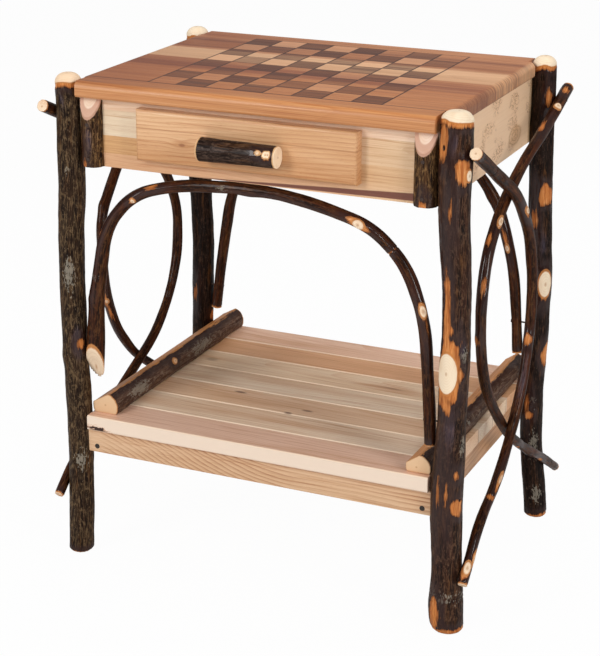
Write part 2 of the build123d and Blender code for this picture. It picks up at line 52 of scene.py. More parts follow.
def paint(red, green, blue):
    """A colour by its screen values, 0 to 255, as a shader wants it."""
    parts = (value / 255 for value in (red, green, blue))
    return tuple(p / 12.92 if p < 0.04045 else ((p + 0.055) / 1.055) ** 2.4 for p in parts) + (1.0,)


class Wire:
    """A socket of a finish. Its operators add the Math nodes that they stand for."""

    def __init__(self, finish, socket):
        self.finish = finish
        self.socket = socket

    def __add__(self, other):
        return self.finish.maths("ADD", self, other)

    __radd__ = __add__

    def __sub__(self, other):
        return self.finish.maths("SUBTRACT", self, other)

    def __rsub__(self, other):
        return self.finish.maths("SUBTRACT", other, self)

    def __mul__(self, other):
        return self.finish.maths("MULTIPLY", self, other)

    __rmul__ = __mul__

    def __truediv__(self, other):
        return self.finish.maths("DIVIDE", self, other)

    def __pow__(self, other):
        return self.finish.maths("POWER", self, other)

    def over(self, low, high):
        """0 below low, 1 above high, with a soft step between."""
        sockets = {"Value": self, "From Min": low, "From Max": high}
        return self.finish.node("MapRange", {"interpolation_type": "SMOOTHSTEP"}, sockets)


class Finish:
    """One material in the making. Places on the piece are in millimetres."""

    def __init__(self, name):
        self.material = bpy.data.materials.new(name)
        self.material.use_nodes = True
        self.sheet = self.material.node_tree
        self.shader = self.sheet.nodes["Principled BSDF"]

    def join(self, value, socket):
        if isinstance(value, Wire):
            self.sheet.links.new(value.socket, socket)
        else:
            socket.default_value = value

    def node(self, kind, settings, sockets, out=0):
        """Add a node with its settings and inputs, and hand back one of its outputs."""
        made = self.sheet.nodes.new("ShaderNode" + kind)
        for name, value in settings.items():
            if name == "stops":
                ramp = made.color_ramp
                ramp.interpolation = settings["between"]
                while len(ramp.elements) < len(value):
                    ramp.elements.new(1.0)
                for stop, (place, colour) in zip(ramp.elements, value):
                    stop.position = place
                    stop.color = colour
            elif name != "between":
                setattr(made, name, value)
        for name, value in sockets.items():
            self.join(value, made.inputs[name])
        return Wire(self, made.outputs[out])

    def maths(self, operation, *values):
        return self.node("Math", {"operation": operation}, dict(enumerate(values)))

    def vector(self, operation, *values):
        return self.node("VectorMath", {"operation": operation}, dict(enumerate(values)))

    def mix(self, share, first, second, blend="MIX"):
        """The first colour, with a share of the second over it."""
        share_in, first_in, second_in, colour_out = 0, 6, 7, 2
        sockets = {share_in: share, first_in: first, second_in: second}
        return self.node("Mix", {"data_type": "RGBA", "blend_type": blend}, sockets, colour_out)

    def ramp(self, share, stops, between="LINEAR"):
        return self.node("ValToRGB", {"stops": stops, "between": between}, {0: share})

    def split(self, place):
        return [self.node("SeparateXYZ", {}, {0: place}, out) for out in range(3)]

    def gather(self, x, y, z):
        return self.node("CombineXYZ", {}, {0: x, 1: y, 2: z})

    def place(self):
        """Where a point lies on the piece, along x, y and z."""
        at = self.vector("SCALE", self.node("TexCoord", {}, {}, "Object"))
        at.socket.node.inputs["Scale"].default_value = 1 / MM
        return self.split(at)

    def attribute(self, name):
        return self.node("Attribute", {"attribute_name": name}, {}, "Vector")

    def mottle(self, at, size, detail=2.0, rough=0.5, shift=0.0):
        """Cloudy noise, 0 to 1, whose lumps have that size along each axis."""
        scale = tuple(1 / length for length in size)
        moved = self.vector("MULTIPLY_ADD", at, scale, (shift, 0.7 * shift, 0.4 * shift))
        sockets = {"Vector": moved, "Scale": 1.0, "Detail": detail, "Roughness": rough}
        return self.node("TexNoise", {}, sockets)

    def done(self, colour, roughness, height, depth, coat=0.0, gloss=0.12):
        """Join colour, roughness and relief, whose height of 0 to 1 is that deep."""
        relief = self.node("Bump", {}, {"Strength": 1.0, "Distance": depth * MM, "Height": height})
        for name, value in (("Base Color", colour), ("Roughness", roughness), ("Normal", relief),
                            ("Coat Weight", coat), ("Coat Roughness", gloss)):
            self.join(value, self.shader.inputs[name])
        return self.material


def bark_finish(name, deep, mid, pale, fleck, streaks, gloss, rim, depth=0.9, wood_tone=(240, 220, 192),
                rim_from=90.0, shaved=0.0):
    """Lacquered bark, with bare bast where it is peeled and pale wood where it is cut.

    The bark's colours run from deep to pale, with shares of flecks and of pale streaks. The rim
    is the bast's colour round a cut, and starts that far from the heart. Shaved lightens the bast.
    """
    f = Finish(name)
    f.shader.inputs["Specular IOR Level"].default_value = 0.06
    grain = f.vector("SCALE", f.attribute("grain"))
    grain.socket.node.inputs["Scale"].default_value = 1 / MM
    cut, peeled, lichen_and_glint = f.split(f.attribute("marks"))
    off_pith, painted_sheen, hollow = f.split(f.attribute("pith"))

    long_streak = f.mottle(grain, (4, 4, 70), 3.0, 0.6)
    fibre = f.mottle(grain, (1.1, 1.1, 14), 3.0, 0.65, 5.0)
    cloud = f.mottle(grain, (16, 16, 45), 3.0, 0.55, 9.0)
    speck = f.mottle(grain, (1.7, 1.7, 4.5), 2.0, 0.6, 13.0)
    warm = f.mottle(grain, (9, 9, 60), 2.0, 0.5, 17.0)
    flake = f.mottle(grain, (5, 5, 9), 3.0, 0.7, 21.0)

    # the bark itself: broad streaks, pale fibres, flakes, warm bands, specks and dark furrows
    bark = f.mix(long_streak.over(0.40, 0.66) * 0.8, deep, mid)
    bark = f.mix(fibre.over(0.48, 0.70) * streaks, bark, pale)
    bark = f.mix(flake.over(0.52, 0.66) * streaks * 0.7, bark, pale)
    bark = f.mix((1 - flake.over(0.30, 0.42)) * 0.5, bark, deep)
    bark = f.mix(warm.over(0.54, 0.72) * fibre.over(0.40, 0.60) * 0.6, bark, paint(104, 66, 34))
    bark = f.mix(cloud.over(0.60, 0.80) * 0.35, bark, mid)
    bark = f.mix(speck.over(0.66, 0.74) * fleck, bark, paint(132, 112, 92))
    bark = f.mix((1 - fibre.over(0.26, 0.42)) * 0.8, bark, paint(20, 12, 10))
    # grey crusts of lichen; one small mark on the front left post is a painted highlight instead, a glint
    # of the lamps
    crust_and_glint = (lichen_and_glint + (speck - 0.5) * 26 + (flake - 0.5) * 26).over(0.2, 3.0)
    bark = f.mix(crust_and_glint * 0.6, bark, paint(150, 142, 128))
    # a purple-grey painted sheen: the lamps' reflection in the glossy bark, painted into the colour
    bark = f.mix((painted_sheen + (fibre - 0.5) * 22).over(-1.0, 6.0) * 0.4, bark, paint(94, 84, 98))

    # the peeled patches have ragged ends, because the bark tears along its fibres
    ragged = (long_streak - 0.5) * 9 + (fibre - 0.5) * 7
    bare = (peeled + ragged).over(-0.35, 0.35)
    halo = (peeled + ragged * 0.8).over(-13, -4)
    bark = f.mix(halo * 0.75, bark, paint(44, 20, 15))
    scorch = 1 - (peeled + ragged * 0.6).over(0.2, 3.2)
    bast = f.ramp(fibre * 0.55 + long_streak * 0.55, [
        (0.30, paint(120, 62, 28)), (0.47, paint(174, 98, 48)), (0.60, paint(206, 132, 72)),
        (0.78, paint(230, 172, 116))], "EASE")
    bast = f.mix(cloud.over(0.50, 0.72) * 0.5, bast, paint(150, 88, 46))
    bast = f.mix(scorch * 0.65, bast, paint(104, 52, 26))
    bast = f.mix(shaved, bast, paint(212, 152, 98))
    bast = f.mix(hollow.over(0.2, 0.7), bast, paint(34, 16, 10))

    # end grain: rings about the heart, with a darker pith
    year = 1.9
    heart = off_pith + (cloud - 0.5) * 3
    ring = f.maths("FRACT", heart / year)
    wood = f.mix(ring.over(0.55, 1.0) * 0.3, paint(*wood_tone), paint(212, 174, 132))
    wood = f.mix(cloud.over(0.45, 0.70) * 0.4, wood, paint(224, 190, 152))
    wood = f.mix((1 - off_pith.over(0.6, 2.2)) * 0.6, wood, paint(176, 124, 80))
    edge = cut + (speck - 0.5) * 0.8
    wood = f.mix((1 - edge.over(0.1, 0.9)) * 0.7, wood, rim)
    wood = f.mix(off_pith.over(rim_from, rim_from + 1.2) * 0.85, wood, rim)
    sawn = edge.over(-0.12, 0.12)

    colour = f.mix(bare, bark, bast)
    colour = f.mix(edge.over(-1.9, -1.2) * 0.85, colour, rim)
    colour = f.mix(sawn, colour, wood)
    rough = 0.50 + (fibre - 0.5) * 0.5 - bare * 0.08
    furrows = fibre * 0.35 + long_streak * 0.45 + speck * 0.2
    furrows = furrows * (1 - bare * 0.75) * (1 - sawn * 0.9) * (1 - halo * 0.5)
    relief = furrows + (1 - bare) * (1 - sawn) * 0.9
    coat = gloss * (0.5 + (cloud - 0.5) * 1.2) * (1 - crust_and_glint * 0.8) + halo * (1 - bare) * 0.4
    return f.done(colour, rough, relief * 0.5, depth, coat, gloss=0.1)


def even_copy(node, name, voxel):
    """A CAD node's shape as a new closed mesh of small even faces."""
    bpy.ops.object.select_all(action="DESELECT")
    piece = bpy.data.objects.new(name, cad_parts[node].data.copy())
    bpy.context.scene.collection.objects.link(piece)
    piece.data.materials.clear()
    bpy.context.view_layer.objects.active = piece
    piece.select_set(True)
    bpy.ops.object.mode_set(mode="EDIT")
    bpy.ops.mesh.select_all(action="SELECT")
    bpy.ops.mesh.remove_doubles(threshold=0.01 * MM)
    bpy.ops.object.mode_set(mode="OBJECT")
    skin = piece.modifiers.new("skin", "REMESH")
    skin.mode = "VOXEL"
    skin.voxel_size = voxel * MM
    bpy.ops.object.modifier_apply(modifier="skin")
    bpy.ops.object.shade_smooth()
    return piece


class Heart:
    """The centre line of a log or twig, along which its points are straightened out."""

    def __init__(self, at, key, side):
        slices, partial = 72, 3
        order = key(at)
        edges = np.linspace(order.min(), order.max(), slices + 1)
        which = np.clip(np.digitize(order, edges) - 1, 0, slices - 1)
        line = np.array([at[which == i].mean(axis=0) for i in range(partial, slices - partial)])
        for _ in range(2):
            line[1:-1] = (line[:-2] + 2 * line[1:-1] + line[2:]) / 4

        # the line is carried on past both ends, whose slices would pull it aside
        reach = 0.08
        first, last = line[0] - line[2], line[-1] - line[-3]
        line = np.vstack([line[0] + reach * first / np.linalg.norm(first), line,
                          line[-1] + reach * last / np.linalg.norm(last)])
        steps = np.linalg.norm(np.diff(line, axis=0), axis=1)
        self.line, self.run = line, np.concatenate([[0], np.cumsum(steps)])
        tangent = np.gradient(line, self.run, axis=0)
        self.tangent = tangent / np.linalg.norm(tangent, axis=1)[:, None]
        self.keys = key(line)

        # each point is moved along until it lies square to the line
        run = np.interp(order, self.keys, self.run)
        for _ in range(4):
            run = run + ((at - self.point(run)) * self.way(run)).sum(axis=1)
        heart, way = self.point(run), self.way(run)
        self.out = at - heart
        across = side - (way @ side)[:, None] * way
        across /= np.linalg.norm(across, axis=1)[:, None]
        around = np.cross(way, across)
        self.a, self.b = (self.out * across).sum(axis=1), (self.out * around).sum(axis=1)
        self.start = run.min()
        self.along = run - self.start
        self.length = run.max() - self.start
        self.radius = np.hypot(self.a, self.b)
        self.angle = np.arctan2(self.b, self.a)

    def point(self, run):
        return np.stack([np.interp(run, self.run, self.line[:, i]) for i in range(3)], axis=1)

    def way(self, run):
        way = np.stack([np.interp(run, self.run, self.tangent[:, i]) for i in range(3)], axis=1)
        return way / np.linalg.norm(way, axis=1)[:, None]

    def reach(self, key_value):
        """How far along the piece a height, or other key, lies."""
        return np.interp(key_value, self.keys, self.run) - self.start


def lumps(places, size, seed):
    """Smooth noise of about -1 to 1 at each place, with lumps of that size."""
    return np.array([noise.noise(Vector(p)) for p in places / np.array(size) + seed]) * 1.6


def soft_step(values, low, high):
    share = np.clip((values - low) / (high - low), 0, 1)
    return share * share * (3 - 2 * share)


def bark_piece(node, name, body, material, key, side, voxel, seed, marks=(), relief=(0.5, 0.3),
               ends=(True, True), dome=0.0, foot=0.0, planes=(), true_heart=None):
    """Replace a CAD log with one that has bark relief, and marks for its finish.

    The key gives a point's order along the piece, and angles start from its side. A mark is a
    kind, its place along by the key, its angle, and half its length and width. The relief is how
    deep the lumps and the ridges are, ends tells which are sawn off, and dome and foot are how far
    the bark is gone there. A plane cuts or peels what lies past it, all of it or within a reach.
    """
    piece = even_copy(node, name, voxel)
    count = len(piece.data.vertices)
    at = np.empty(count * 3, np.float32)
    piece.data.vertices.foreach_get("co", at)
    at = at.reshape(-1, 3).astype(float)
    heart = Heart(at, key, np.array(side, float))
    inside = np.stack([heart.a, heart.b, heart.along], axis=1) / MM
    from_start, from_end = heart.along / MM, (heart.length - heart.along) / MM
    mean_radius = np.median(heart.radius) / MM

    # how far each point lies inside a mark of that kind, negative outside it
    far_outside, out_of_reach = -20.0, 99.0
    cut, peeled, lichen_and_glint, painted_sheen = (np.full(count, far_outside) for _ in range(4))
    hollow, swell = np.zeros(count), np.zeros(count)
    pith = heart.radius / MM
    if true_heart:
        pith = np.hypot(at[:, 0] - true_heart[0], at[:, 1] - true_heart[1]) / MM
    tear = lumps(inside, (9, 9, 16), seed + 0.31)
    wave = lumps(inside, (14, 14, 400), seed + 0.77)
    for kind, place, turn, long, wide in marks:
        off_along = (heart.along - heart.reach(place)) / MM / long
        off_round = np.angle(np.exp(1j * (heart.angle - math.radians(turn)))) * mean_radius / wide
        far = np.hypot(off_along, off_round)
        depth = (1 - far) * min(long, wide)
        if kind == "cut":
            cut = np.maximum(cut, depth)
            pith = np.where(far < 1.3, far * min(long, wide), pith)
            swell += 1.1 * soft_step(-far, -1.5, -0.8)
        elif kind == "peel":
            peeled = np.maximum(peeled, depth + 0.3 * min(long, wide) * tear)
        elif kind == "lichen_and_glint":
            lichen_and_glint = np.maximum(lichen_and_glint, depth)
        elif kind == "knob":
            swell += 1.7 * np.exp(-1.4 * far * far)
        elif kind == "hole":
            swell -= 2.5 * np.exp(-1.4 * far * far)
            hollow = np.maximum(hollow, 1.3 - far)
        # this kind of mark is a painted reflection, where the glossy bark mirrors the lamps
        elif kind == "painted_sheen":
            painted_sheen = np.maximum(painted_sheen, depth)
        elif kind == "ring":
            swell -= 0.7 * np.exp(-(off_along ** 2))
        elif kind == "thick":
            swell += wide * np.exp(-(off_along ** 2))
    for has_cut, distance in zip(ends, (from_start, from_end)):
        if has_cut:
            cut = np.maximum(cut, 0.9 - distance)
            peeled = np.maximum(peeled, 3.0 - distance)
    for kind, point, normal, *within in planes:
        behind = -((at - np.array(point)) @ np.array(normal)) / MM
        if within:
            behind[np.linalg.norm(at - np.array(point), axis=1) > within[0] * MM] = out_of_reach
        if kind == "cut":
            cut = np.maximum(cut, 1.0 - behind)
        else:
            peeled = np.maximum(peeled, 2.2 - behind + 0.8 * tear)
    if dome:
        cut = np.maximum(cut, dome - from_end + 2.2 * wave)
        peeled = np.maximum(peeled, dome + 6.5 - from_end + 1.2 * tear + 3.4 * wave)
    if foot:
        peeled = np.maximum(peeled, foot - from_start + 1.5 * tear)

    # the relief is weaker where the wood is bare, and the peeled wood lies a little deeper
    lump, ridge = relief
    bump = lump * (lumps(inside, (26, 26, 60), seed) - 0.1)
    bump += ridge * (lumps(inside, (4.5, 4.5, 38), seed + 3.1) - 0.3)
    bump += 0.55 * ridge * lumps(inside, (2.6, 2.6, 11), seed + 5.7)
    bump *= 1 - 0.85 * soft_step(np.maximum(cut, 0.6 * peeled), -1.0, 1.0)
    bump += swell * (heart.radius / MM / mean_radius)
    bump -= 0.7 * soft_step(peeled, -0.4, 0.8) * (1 - soft_step(cut, -1.0, 0.5))
    at += heart.out * (bump * MM / np.maximum(heart.radius, 0.6 * mean_radius * MM))[:, None]
    piece.data.vertices.foreach_set("co", at.astype(np.float32).ravel())

    grain = np.stack([heart.a, heart.b, heart.along + 1.7 * seed], axis=1)
    # the pith layer holds the distance from the pith, the painted reflection and the holes
    layers = {"grain": grain, "pith": np.stack([pith, painted_sheen, hollow], axis=1),
              "marks": np.stack([cut, peeled, lichen_and_glint], axis=1)}
    for label, values in layers.items():
        layer = piece.data.attributes.new(label, "FLOAT_VECTOR", "POINT")
        layer.data.foreach_set("vector", values.astype(np.float32).ravel())
    piece.data.materials.append(material)
    piece.data.update()
    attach(piece, body)
    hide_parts(node)


def height(at):
    return at[:, 2] / MM


smooth_bark = bark_finish(
    "smooth_dark_bark", deep=paint(20, 9, 6), mid=paint(60, 34, 23), pale=paint(118, 86, 64),
    fleck=0.3, streaks=0.62, gloss=0.16, rim=paint(190, 122, 66))
# the back posts take a darker copy of the bark: painted shade for the lesser light that reaches them
shaded_bark = bark_finish(
    "back_post_bark_painted_shade", deep=paint(12, 5, 3), mid=paint(36, 20, 14), pale=paint(86, 62, 48),
    fleck=0.3, streaks=0.45, gloss=0.14, rim=paint(190, 122, 66))
grey_bark = bark_finish(
    "weathered_grey_bark", deep=paint(24, 13, 8), mid=paint(58, 40, 27), pale=paint(122, 98, 70),
    fleck=0.6, streaks=0.78, gloss=0.1, rim=paint(184, 124, 74), wood_tone=(238, 208, 176))
# the front posts have their own barks, and the back posts the copy darkened with painted shade
log_barks = {"post_front_left": grey_bark, "post_front_right": smooth_bark}

# the purple-grey sheen marks in these lists are painted reflections of the lamps on glossy bark
post_marks = {
    "post_front_left": [
        ("peel", 327, -31, 8, 6), ("knob", 306, -147, 16, 12), ("knob", 548, 25, 34, 14),
        # the small grey mark at 580 is a painted highlight, a glint of the lamps; the other grey marks are
        # lichen
        ("knob", 607, -148, 30, 14), ("lichen_and_glint", 580, -71, 3, 2), ("lichen_and_glint", 150, -60, 14, 7),
        ("lichen_and_glint", 430, -75, 22, 7), ("painted_sheen", 676, -95, 12, 5), ("painted_sheen", 330, -45, 26, 10),
    ],
    "post_front_right": [
        ("peel", 671, -125, 24, 8), ("hole", 666, -121, 4, 3), ("peel", 638, -44, 17, 11),
        ("cut", 632, -18, 7, 5), ("peel", 588, -85, 11, 1.8), ("peel", 376, -102, 54, 18),
        ("peel", 445, -112, 66, 6), ("cut", 373, -105, 28, 15), ("knob", 362, -165, 60, 24),
        ("knob", 352, -150, 50, 24), ("painted_sheen", 672, -84, 17, 7), ("painted_sheen", 410, -45, 14, 8),
        ("painted_sheen", 300, -80, 36, 9), ("lichen_and_glint", 396, -36, 9, 6), ("lichen_and_glint", 271, -18, 11, 4),
        ("peel", 232, -41, 6, 4), ("peel", 186, -30, 13, 10), ("knob", 195, -17, 7, 6),
        ("hole", 195, -17, 3, 3), ("peel", 204, -76, 13, 1.6), ("peel", 205, -106, 16, 1.6),
        ("knob", 165, -56, 30, 24), ("ring", 53, 0, 1.6, 500), ("ring", 46, 0, 1.4, 500),
        ("peel", 26, -116, 26, 8), ("lichen_and_glint", 58, -58, 1.6, 14), ("lichen_and_glint", 50, -66, 1.4, 10),
    ],
    "post_back_right": [
        ("peel", 654, -50, 12, 5), ("peel", 512, -36, 17, 13), ("peel", 478, -105, 20, 4),
        ("peel", 374, -48, 23, 9), ("cut", 378, -48, 20, 9.5), ("peel", 268, -8, 19, 10),
        ("knob", 285, -10, 60, 22), ("knob", 183, -66, 16, 12), ("hole", 183, -64, 6, 5),
        ("peel", 188, -98, 14, 3.5), ("peel", 169, -86, 6, 5), ("lichen_and_glint", 196, -74, 3, 4),
        ("lichen_and_glint", 39, -65, 12, 8), ("lichen_and_glint", 120, -60, 20, 6), ("knob", 380, -48, 34, 20),
        ("painted_sheen", 440, -60, 20, 6),
    ],
    "post_back_left": [
        ("peel", 286, -112, 14, 4), ("peel", 245, 1, 9, 6), ("knob", 470, -70, 30, 14),
        ("peel", 400, 150, 20, 8),
    ],
}
peeled_foot, unpeeled_foot = 8.0, -3.0
for number, (node, marks) in enumerate(post_marks.items()):
    foot = unpeeled_foot if node == "post_front_left" else peeled_foot
    bark_piece(node, node.replace("post", "log"), "frame", log_barks.get(node, shaded_bark),
               key=height, side=(1, 0, 0), voxel=1.6, seed=number + 0.5, marks=marks,
               relief=(0.8, 0.38), ends=(True, False), dome=11.5, foot=foot)

# ---------------------------------------- apron box
# Planed hickory boards, screwed into a closed box and lacquered clear. The front is glued up
# from four strips, with brown heartwood along its lower edge, and the sides are full of
# bird's-eyes.


class Timber(Finish):
    """A finish of planed wood, its figure cut from a log at a named place."""

    def __init__(self, name, order="xyz", seed=0.0):
        super().__init__(name)
        self.seed = seed
        axes = dict(zip("xyz", self.place()))
        self.long, self.wide, self.thick = (axes[letter] for letter in order)
        self.figure(self.gather(self.long, self.wide, self.thick))

    def figure(self, at):
        """Take the grain from a place in the log, which may differ from board to board."""
        self.at = at
        self.fibre = self.mottle(at, (60, 0.9, 0.9), 3.0, 0.65, self.seed + 1)
        self.broad = self.mottle(at, (260, 28, 28), 2.0, 0.5, self.seed + 2)
        self.pore = self.mottle(at, (11, 0.55, 0.55), 1.0, 0.5, self.seed + 3)
        self.line = self.mottle(at, (150, 2.6, 2.6), 2.0, 0.6, self.seed + 6)

    def rings(self, pith, pitch, taper=0.02, wander=8.0, bulge=None):
        """The growth rings, 0 in spring wood to 1 at each ring's edge."""
        drift = self.mottle(self.at, (190, 40, 40), 2.0, 0.5, self.seed + 4)
        fine = self.mottle(self.at, (60, 14, 14), 2.0, 0.5, self.seed + 5)
        sway = (drift - 0.5) * (2 * wander) + (fine - 0.5) * 3
        wide, thick = self.wide - pith[0] + sway, self.thick - pith[1] + sway * 0.5
        radius = self.maths("SQRT", wide * wide + thick * thick) - self.long * taper
        if bulge is not None:
            radius = radius + bulge
        return self.maths("FRACT", radius / pitch)

    def spot(self, long, wide, length, width):
        """Nearness to a knot, from 1 at its middle to 0 at its edge and less beyond."""
        off_long, off_wide = (self.long - long) / length, (self.wide - wide) / width
        return 1 - self.maths("SQRT", off_long * off_long + off_wide * off_wide)

    def tone(self, colour, rings, line, strength):
        """Lay the ring lines, the fibres and the pores over a colour."""
        colour = self.mix(rings ** 2.5 * strength, colour, line, "MULTIPLY")
        colour = self.mix(self.broad.over(0.35, 0.75) * 0.55, colour, paint(236, 222, 206), "MULTIPLY")
        colour = self.mix(self.line.over(0.54, 0.70) * 0.6, colour, paint(214, 182, 154), "MULTIPLY")
        colour = self.mix(self.fibre.over(0.35, 0.75) * 0.6, colour, paint(232, 216, 198), "MULTIPLY")
        return self.mix(self.pore.over(0.66, 0.74) * 0.4, colour, paint(200, 166, 136), "MULTIPLY")

    def lacquered(self, colour, extra_depth=0.0):
        """The finish itself: clear lacquer over the colour, with scored lines that much deeper."""
        self.shader.inputs["Specular IOR Level"].default_value = 0.3
        rough = 0.40 + (self.fibre - 0.5) * 0.3
        relief = self.fibre * 0.5 + 0.5 - self.pore.over(0.66, 0.74) * 0.4 - extra_depth
        return self.done(colour, rough, relief, depth=0.12, coat=0.1, gloss=0.2)


def lay(material, *node_names):
    """Give CAD nodes their finish."""
    for node in node_names:
        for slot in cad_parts[node].material_slots:
            slot.material = material


front_low, front_high = (corner[2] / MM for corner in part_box("apron_front"))
front_wood = Timber("apron_front_strips", "xzy", 3)
share = (front_wood.wide - front_low) / (front_high - front_low)
strips = front_wood.ramp(share, [
    (0.0, paint(224, 180, 142)), (0.20, paint(212, 166, 116)), (0.46, paint(232, 212, 184)),
    (0.83, paint(240, 212, 186))], "CONSTANT")
to_right = front_wood.long.over(110, 180) * (1 - share.over(0.82, 0.84))
strips = front_wood.mix(to_right * 0.8, strips, paint(226, 192, 154))
front_rings = front_wood.rings((655, -160), 4.5, 0.035, 7)
strips = front_wood.tone(strips, front_rings, paint(208, 160, 120), 0.22)

# the heartwood starts as a point and widens to the right
heart_from, heart_run, heart_rise = -90, 340, 15
heart_top = (front_wood.long - heart_from) / heart_run * heart_rise + (front_wood.broad - 0.5) * 9
above_low = front_wood.wide - front_low
heartwood = (heart_top - above_low).over(-0.5, 0.8) * (above_low - heart_top * 0.25).over(-0.6, 0.6)
heart_colour = front_wood.mix(front_wood.fibre, paint(96, 54, 44), paint(132, 84, 66))
strips = front_wood.mix(heartwood, strips, heart_colour)
lay(front_wood.lacquered(strips), "apron_front")

back_wood = Timber("apron_back_board", "xzy", 9)
back_rings = back_wood.rings((620, 150), 4.2, 0.03)
back_colour = back_wood.tone(paint(226, 194, 154), back_rings, paint(206, 158, 116), 0.5)
lay(back_wood.lacquered(back_colour), "apron_back")

side_wood = Timber("bird_eye_side_board", "yzx", 14)
eye_place = side_wood.vector("MULTIPLY", side_wood.at, (0.13, 0.16, 0.13))
eyes = side_wood.node("TexVoronoi", {}, {"Vector": eye_place, "Scale": 1.0, "Randomness": 1.0})
where = side_wood.mottle(side_wood.at, (46, 34, 60), 2.0, 0.5, 2.2)
squiggle = side_wood.mottle(side_wood.at, (7, 5, 5.5), 3.0, 0.6, 6.0)
burl = where.over(0.52, 0.62) * (1 - side_wood.maths("ABSOLUTE", squiggle - 0.52).over(0.012, 0.04))
eye = (1 - eyes.over(0.08, 0.22)) * where.over(0.50, 0.60)
comma = side_wood.spot(110, 612, 34, 17)
curl = side_wood.maths("FRACT", comma * 3.2 + (squiggle - 0.5) * 1.2)
side_rings = side_wood.rings((560, 200), 4.6, 0.03, 10)
side_colour = side_wood.tone(paint(250, 212, 176), side_rings, paint(220, 184, 148), 0.3)
side_colour = side_wood.mix(0.8, side_colour, paint(248, 210, 172))
side_colour = side_wood.mix(where.over(0.45, 0.7) * 0.25, side_colour, paint(232, 188, 142))
side_colour = side_wood.mix(burl * 0.75, side_colour, paint(150, 88, 52))
side_colour = side_wood.mix(eye * 0.75, side_colour, paint(128, 74, 42))
side_colour = side_wood.mix(comma.over(0.0, 0.3) * 0.45, side_colour, paint(206, 158, 108))
comma_lines = comma.over(0.05, 0.3) * curl.over(0.60, 0.9)
side_colour = side_wood.mix(comma_lines * 0.4, side_colour, paint(146, 92, 56))
# a dark brown patch low at the back end, by the back post: painted shade
back_corner_shade = side_wood.spot(215, 562, 46, 26) + (where - 0.5) * 0.8
side_colour = side_wood.mix(back_corner_shade.over(0.0, 0.8) * 0.7, side_colour, paint(120, 76, 46))
lay(side_wood.lacquered(side_colour), "apron_left", "apron_right")

inner_wood = Timber("plain_inner_wood", "yxz", 21)
inner_rings = inner_wood.rings((150, 500), 4.5, 0.02)
inner_colour = inner_wood.tone(paint(226, 196, 154), inner_rings, paint(204, 158, 112), 0.5)
lay(inner_wood.lacquered(inner_colour), "corner_block_front_left", "corner_block_front_right",
    "corner_block_back_left", "corner_block_back_right", "drawer_runner_left", "drawer_runner_right",
    "drawer_side_left", "drawer_side_right", "drawer_inner_front", "drawer_back", "drawer_bottom")

# ---------------------------------------- slab top
# Six hickory staves glued side by side, sapwood and heartwood mixed, with a bullnose all
# round. The checkerboard is scored with a fine line, and every other square is stained.
square, squares_half = 41.9, 4
board_middle = (2.0, 0.0)
board_half = squares_half * square
slab_low, slab_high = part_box("top_stave_1")[0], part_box("top_stave_6")[1]
slab_front, slab_back, slab_face = slab_low.y / MM, slab_high.y / MM, slab_high.z / MM

slab_wood = Timber("slab_staves", "xyz", 30)
x, y, z = slab_wood.long, slab_wood.wide, slab_wood.thick
board_x, board_y = x - board_middle[0], y - board_middle[1]
column, row = board_x / square + squares_half, board_y / square + squares_half
to_edge = slab_wood.maths("MINIMUM", board_half - slab_wood.maths("ABSOLUTE", board_x),
                          board_half - slab_wood.maths("ABSOLUTE", board_y))
on_face = z.over(slab_face - 2, slab_face - 1)
on_board = to_edge.over(-0.05, 0.05) * on_face
cell_x, cell_y = slab_wood.maths("FLOOR", column), slab_wood.maths("FLOOR", row)
cell = slab_wood.gather(cell_x, cell_y, 0.0)
chance = slab_wood.node("TexWhiteNoise", {"noise_dimensions": "3D"}, {"Vector": cell})

# each square takes its figure from a little to one side in the log, so that no two match
figure_shift = 60
slab_wood.figure(slab_wood.gather(x, y + (chance - 0.5) * on_board * figure_shift, z))

# the bands run the whole length, drifting a little; a narrow pale one is sapwood
drift = y + (slab_wood.mottle(slab_wood.at, (420, 60, 60), 1.0, 0.5, 33) - 0.5) * 16
top = slab_wood.ramp((drift - slab_front) / (slab_back - slab_front), [
    (0.0, paint(216, 160, 108)), (0.09, paint(206, 146, 98)), (0.33, paint(206, 146, 100)),
    (0.36, paint(168, 108, 74)), (0.43, paint(172, 112, 78)), (0.47, paint(198, 142, 102)),
    (0.57, paint(200, 144, 104)), (0.60, paint(230, 184, 146)), (0.67, paint(232, 186, 150)),
    (0.70, paint(186, 130, 90)), (0.80, paint(192, 136, 98)), (0.83, paint(160, 110, 80)),
    (0.87, paint(206, 150, 110)), (1.0, paint(210, 154, 114))])
streak = slab_wood.mottle(slab_wood.at, (380, 8, 30), 3.0, 0.62, 40)
thin_streak = slab_wood.mottle(slab_wood.at, (240, 2.2, 3.0), 2.0, 0.6, 47)
top = slab_wood.mix(streak.over(0.53, 0.66) * 0.45, top, paint(152, 100, 72))
top = slab_wood.mix((1 - streak.over(0.32, 0.44)) * 0.4, top, paint(228, 180, 136))
top = slab_wood.mix(thin_streak.over(0.54, 0.68) * 0.5, top, paint(158, 102, 70))
joint = 1 - slab_wood.maths("ABSOLUTE", board_y + board_half).over(1.0, 2.4)
top = slab_wood.mix(joint * on_face * 0.7, top, paint(84, 50, 34))
slab_rings = slab_wood.rings((30, 640), 4.5, 0.03, 6)
top = slab_wood.tone(top, slab_rings, paint(206, 158, 122), 0.5)

